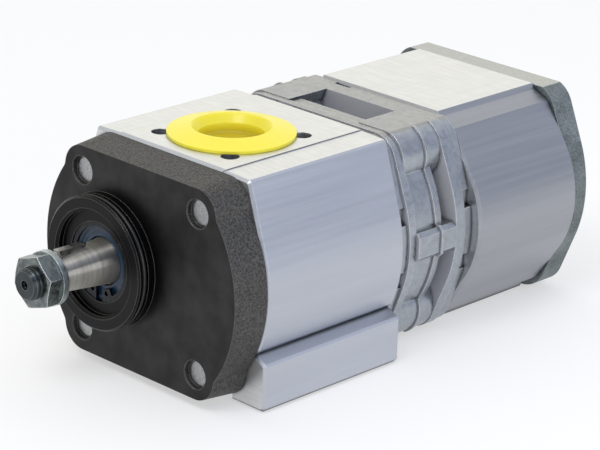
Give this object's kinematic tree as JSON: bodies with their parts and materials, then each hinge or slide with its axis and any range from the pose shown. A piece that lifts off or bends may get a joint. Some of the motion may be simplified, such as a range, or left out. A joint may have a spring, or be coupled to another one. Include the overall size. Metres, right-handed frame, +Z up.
{
  "type": "tandem external gear pump",
  "caption": "Hydraulic gear pump with front and rear pumping stages on a shared keyed taper shaft, a square-bolted pilot flange and a plugged inlet port on top.",
  "frame": {"origin": "on the drive shaft's axis in the front cover's mounting face", "axes": "+X along the shaft from its free end towards the rear stage, +Z up through the inlet port, +Y to the side away from the driven gears"},
  "size_m": [0.2294, 0.1086, 0.0878],
  "materials": {
    "cast_cover": "satin",
    "extruded_body": "satin",
    "cast_middle": "satin",
    "extruded_rear_body": "satin",
    "cast_rear_cover": "matte",
    "bearing_aluminium": "satin",
    "ground_steel": "polished",
    "gear_steel": "satin",
    "zinc_steel": "satin",
    "zinc_bolts": "satin",
    "spring_steel": "satin",
    "bronze": "satin",
    "seal_rubber": "satin",
    "black_rubber": "matte",
    "yellow_plastic": "satin"
  },
  "bodies": {
    "housing": {"front_cover": "cast_cover", "front_body": "extruded_body", "middle_housing": "cast_middle", "rear_body": "extruded_rear_body", "rear_cover": "cast_rear_cover", "bearing_block_1": "bearing_aluminium", "bushes_1": "bronze", "block_seal_1": "black_rubber", "section_seal_1": "black_rubber", "bearing_block_2": "bearing_aluminium", "bushes_2": "bronze", "block_seal_2": "black_rubber", "section_seal_2": "black_rubber", "bearing_block_3": "bearing_aluminium", "bushes_3": "bronze", "block_seal_3": "black_rubber", "section_seal_3": "black_rubber", "bearing_block_4": "bearing_aluminium", "bushes_4": "bronze", "block_seal_4": "black_rubber", "section_seal_4": "black_rubber", "shaft_seal": "seal_rubber", "retaining_ring": "spring_steel", "pilot_o_ring": "black_rubber", "dowel_pins": "spring_steel", "tie_bolts": "zinc_bolts", "inlet_plug": "yellow_plastic"},
    "drive_train": {"drive_shaft": "ground_steel", "shaft_key": "ground_steel", "hex_nut": "zinc_steel", "spring_washer": "zinc_steel", "shaft_coupling": "gear_steel", "rear_drive_gear": "gear_steel"},
    "front_driven": {"front_driven_gear": "gear_steel"},
    "rear_driven": {"rear_driven_gear": "gear_steel"}
  },
  "joints": [
    {"name": "drive_shaft_turn", "type": "hinge", "parent": "housing", "child": "drive_train", "pos_m": [0, 0, 0], "axis": [1, 0, 0], "continuous": true},
    {"name": "front_driven_turn", "type": "hinge", "parent": "housing", "child": "front_driven", "pos_m": [0.0447, -0.032, 0], "axis": [1, 0, 0], "continuous": true},
    {"name": "rear_driven_turn", "type": "hinge", "parent": "housing", "child": "rear_driven", "pos_m": [0.1494, -0.032, 0], "axis": [1, 0, 0], "continuous": true}
  ],
  "couplings": [
    {"joint": "front_driven_turn", "follows": "drive_shaft_turn", "ratio": -1},
    {"joint": "rear_driven_turn", "follows": "drive_shaft_turn", "ratio": -1}
  ]
}
